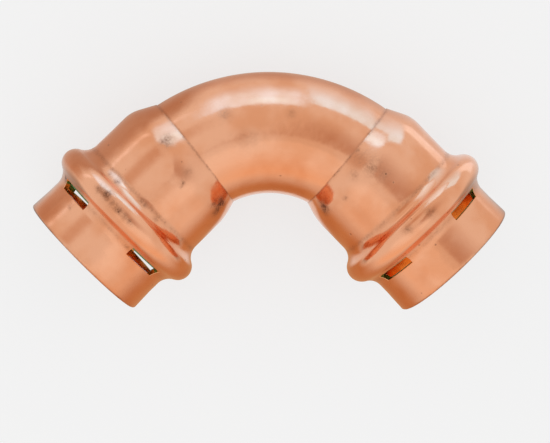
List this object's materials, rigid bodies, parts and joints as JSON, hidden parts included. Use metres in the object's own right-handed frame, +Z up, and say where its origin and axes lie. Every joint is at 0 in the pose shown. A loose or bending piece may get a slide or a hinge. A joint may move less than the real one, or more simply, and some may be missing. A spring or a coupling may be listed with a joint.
{
  "type": "press-fit pipe elbow",
  "caption": "Right-angle copper elbow with a beaded socket at each end; a tube slides in and is pressed, so that a green rubber ring inside it seals.",
  "frame": {"origin": "on the surface the elbow lies on, under the centre of its box", "axes": "+Z up; seen from above, socket a points along +X and socket b along +Y. At rest the elbow leans on its bend, so both socket axes rise about 12 degrees towards their mouths."},
  "size_m": [0.0622, 0.0622, 0.0291],
  "materials": {
    "copper": "polished",
    "seal_rubber": "matte"
  },
  "bodies": {
    "root": {"elbow_body": "copper", "seal_ring_a": "seal_rubber", "seal_ring_b": "seal_rubber"}
  },
  "joints": []
}
